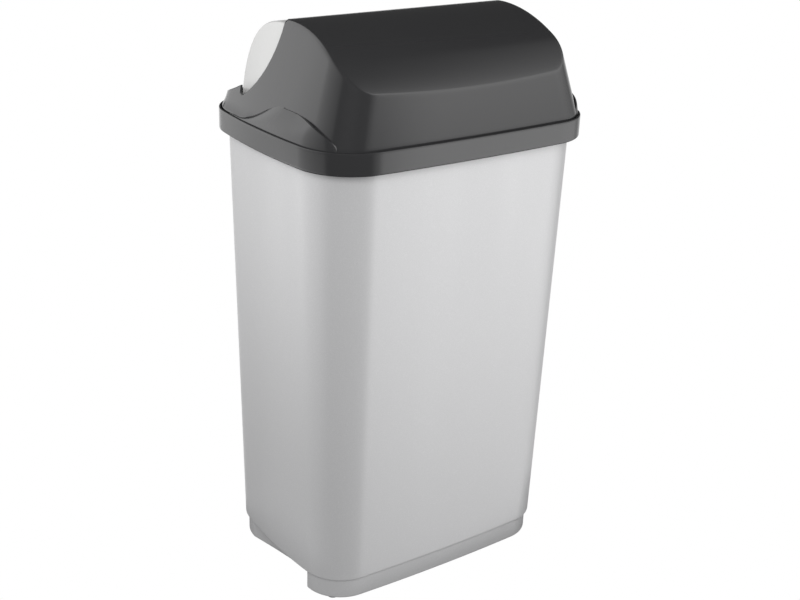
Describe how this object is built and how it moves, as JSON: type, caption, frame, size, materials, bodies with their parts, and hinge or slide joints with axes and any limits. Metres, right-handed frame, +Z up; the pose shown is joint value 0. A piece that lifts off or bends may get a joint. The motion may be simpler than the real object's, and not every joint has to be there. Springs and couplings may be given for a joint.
{
  "type": "roll-top trash can",
  "caption": "Tall rectangular kitchen bin with rounded corners, a domed lid and a roll flap that turns up under the dome.",
  "frame": {"origin": "on the floor, under the middle of the bin", "axes": "+X along the long side, +Y towards the side where the flap opens, +Z up"},
  "size_m": [0.41, 0.311, 0.724],
  "materials": {
    "silver_plastic": "satin moulded polypropylene with a fine metallic-look pigment",
    "anthracite_plastic": "semi-gloss moulded polypropylene",
    "light_grey_plastic": "satin moulded polypropylene",
    "pin_plastic": "smooth acetal",
    "foot_rubber": "matt"
  },
  "bodies": {
    "bucket": {"bucket": "silver_plastic", "foot_pads": "foot_rubber"},
    "rim": {"rim_frame": "anthracite_plastic"},
    "lid": {"lid_housing": "anthracite_plastic", "pivot_pin_left": "pin_plastic", "pivot_pin_right": "pin_plastic"},
    "flap": {"roll_flap": "light_grey_plastic"}
  },
  "joints": [
    {"name": "rim_lift", "type": "slide", "parent": "bucket", "child": "rim", "axis": [0, 0, 1], "range_m": [0, 0.1]},
    {"name": "lid_lift", "type": "slide", "parent": "rim", "child": "lid", "axis": [0, 0, 1], "range_m": [0, 0.15]},
    {"name": "flap_roll", "type": "hinge", "parent": "lid", "child": "flap", "pos_m": [0, 0.023, 0.6076], "axis": [1, 0, 0], "range_deg": [0, 95]}
  ]
}
